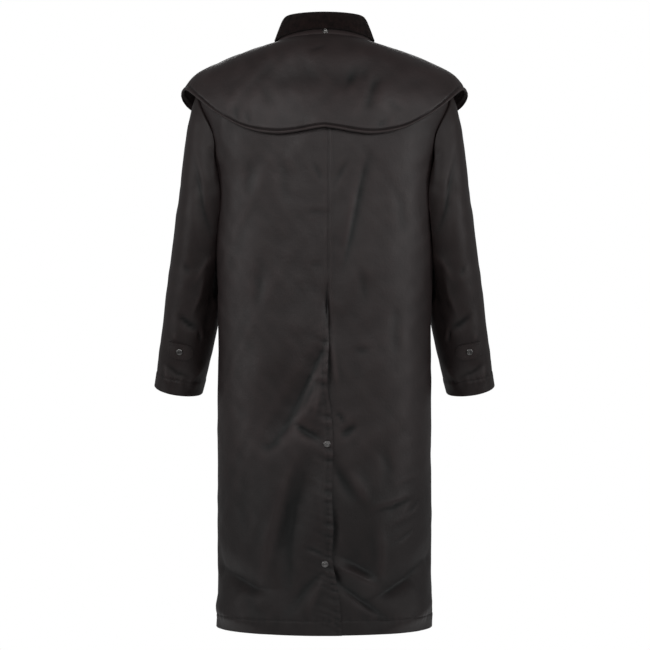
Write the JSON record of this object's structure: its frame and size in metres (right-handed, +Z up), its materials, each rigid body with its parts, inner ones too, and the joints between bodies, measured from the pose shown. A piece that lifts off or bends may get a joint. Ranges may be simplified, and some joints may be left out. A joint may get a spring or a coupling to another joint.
{
  "type": "long caped wax coat",
  "caption": "Long waxed-cotton coat with a shoulder cape, corduroy collar, snap cuff tabs and a snapped back vent, hollow in its worn form.",
  "frame": {"origin": "middle of the neck opening, level with the neck ends of the shoulder seams, where a wearer's neck and shoulders hold the coat", "axes": "+Z up along the coat, +Y the way the wearer faces (the back with its vent faces -Y), +X the wearer's right"},
  "size_m": [0.7084, 0.3306, 1.2488],
  "materials": {
    "waxed_cotton": "dark brown waxed cotton with a dull greyish sheen",
    "brown_corduroy": "very dark brown fine corduroy, matt",
    "gunmetal": "dark plated press studs, satin"
  },
  "bodies": {
    "root": {"back_left": "waxed_cotton", "back_right": "waxed_cotton", "front_left": "waxed_cotton", "front_right": "waxed_cotton", "storm_flap": "waxed_cotton", "sleeve_top_left": "waxed_cotton", "sleeve_under_left": "waxed_cotton", "sleeve_top_right": "waxed_cotton", "sleeve_under_right": "waxed_cotton", "cape_back": "waxed_cotton", "cape_front_left": "waxed_cotton", "cape_front_right": "waxed_cotton", "collar_stand": "waxed_cotton", "collar_fall": "brown_corduroy", "cuff_tab_left": "waxed_cotton", "cuff_tab_right": "waxed_cotton", "hood_stud": "gunmetal", "snap_vent_upper": "gunmetal", "snap_vent_lower": "gunmetal", "snap_cuff_left": "gunmetal", "snap_cuff_right": "gunmetal", "snap_front_1": "gunmetal", "snap_front_2": "gunmetal", "snap_front_3": "gunmetal", "snap_front_4": "gunmetal", "snap_front_5": "gunmetal", "snap_front_6": "gunmetal"}
  },
  "joints": []
}
